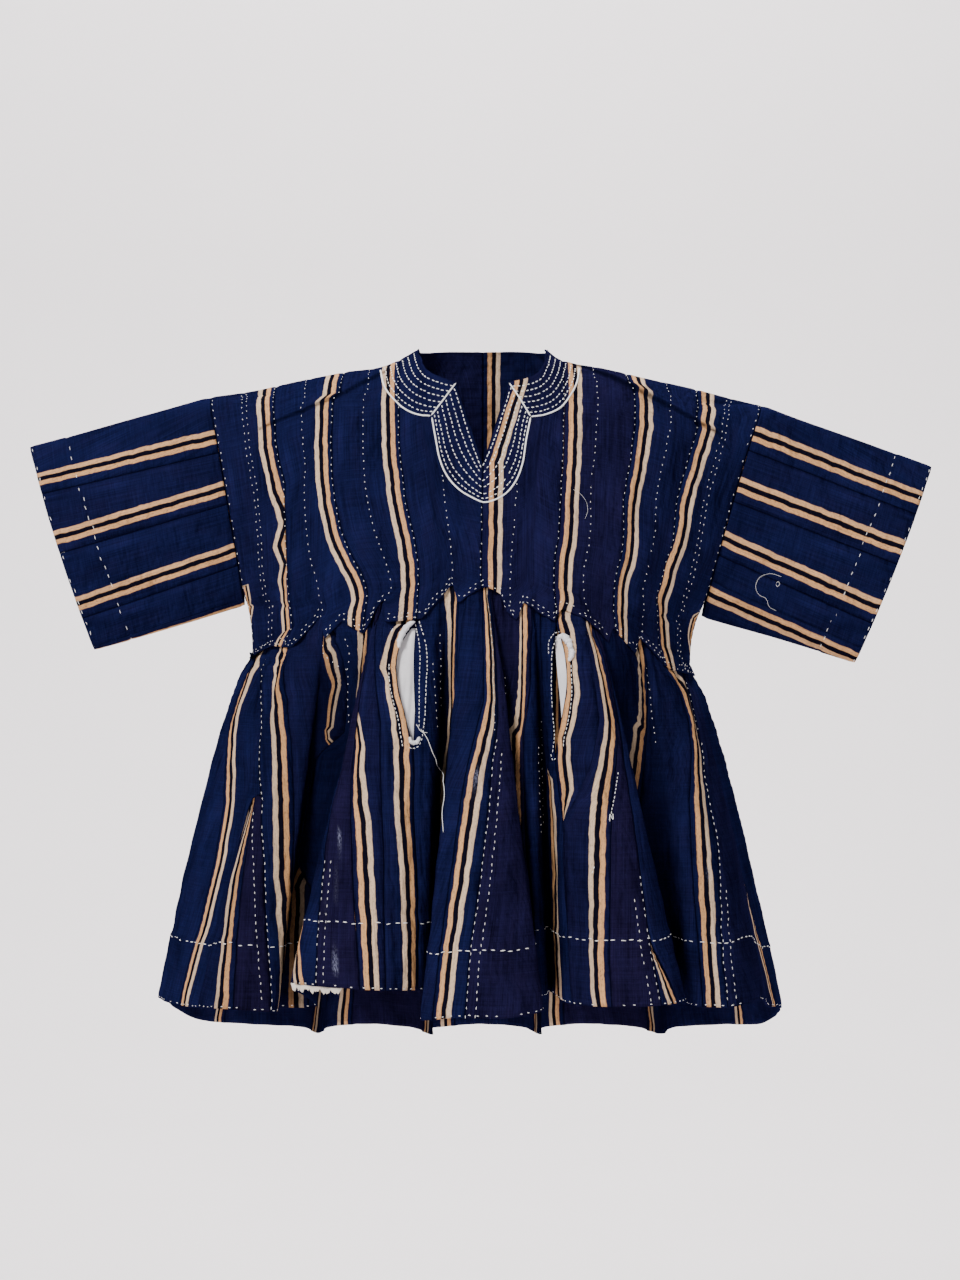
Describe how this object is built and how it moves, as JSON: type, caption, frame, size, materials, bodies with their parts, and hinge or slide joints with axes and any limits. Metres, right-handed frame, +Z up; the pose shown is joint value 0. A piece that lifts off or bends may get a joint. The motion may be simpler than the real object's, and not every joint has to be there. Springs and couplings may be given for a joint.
{
  "type": "fugu smock",
  "caption": "Hand-woven fugu smock of indigo strips with paired tan stripes, V-slit round neck, short wide sleeves, sawtooth waist seam and flared skirt in deep folds, worn on the upper body.",
  "frame": {"origin": "where the smock hangs on the wearer's shoulders, at the root of the neck: mount shoulders", "axes": "+X is to the right seen from the front, across the sleeves; -Y is the front; +Z is up"},
  "size_m": [1.0276, 0.573, 0.8087],
  "materials": {
    "striped_cloth": "coarse hand-woven cotton strips, indigo with a pair of tan stripes near one edge, matte",
    "pocket_cotton": "thin white plain-weave cotton, matte",
    "white_thread": "thick off-white cotton sewing thread, matte",
    "hem_tape": "cream cotton turning with a frayed raw edge, matte"
  },
  "bodies": {
    "root": {"bodice_front": "striped_cloth", "bodice_back": "striped_cloth", "sleeve_left": "striped_cloth", "sleeve_right": "striped_cloth", "skirt_front_gore_1": "striped_cloth", "skirt_front_gore_2": "striped_cloth", "skirt_front_gore_3": "striped_cloth", "skirt_front_gore_4": "striped_cloth", "skirt_front_gore_5": "striped_cloth", "skirt_front_gore_6": "striped_cloth", "skirt_front_gore_7": "striped_cloth", "skirt_front_strip_1": "striped_cloth", "skirt_front_strip_2": "striped_cloth", "skirt_front_strip_3": "striped_cloth", "skirt_front_strip_4": "striped_cloth", "skirt_front_strip_5": "striped_cloth", "skirt_front_strip_6": "striped_cloth", "skirt_front_strip_7": "striped_cloth", "skirt_front_strip_8": "striped_cloth", "skirt_front_strip_9": "striped_cloth", "skirt_front_strip_10": "striped_cloth", "skirt_front_strip_11": "striped_cloth", "skirt_front_strip_12": "striped_cloth", "skirt_back_gore_1": "striped_cloth", "skirt_back_gore_2": "striped_cloth", "skirt_back_gore_3": "striped_cloth", "skirt_back_gore_4": "striped_cloth", "skirt_back_gore_5": "striped_cloth", "skirt_back_strip_1": "striped_cloth", "skirt_back_strip_2": "striped_cloth", "skirt_back_strip_3": "striped_cloth", "skirt_back_strip_4": "striped_cloth", "skirt_back_strip_5": "striped_cloth", "skirt_back_strip_6": "striped_cloth", "skirt_back_strip_7": "striped_cloth", "skirt_back_strip_8": "striped_cloth", "skirt_back_strip_9": "striped_cloth", "pocket_bag_left": "pocket_cotton", "pocket_bag_right": "pocket_cotton"}
  },
  "joints": []
}
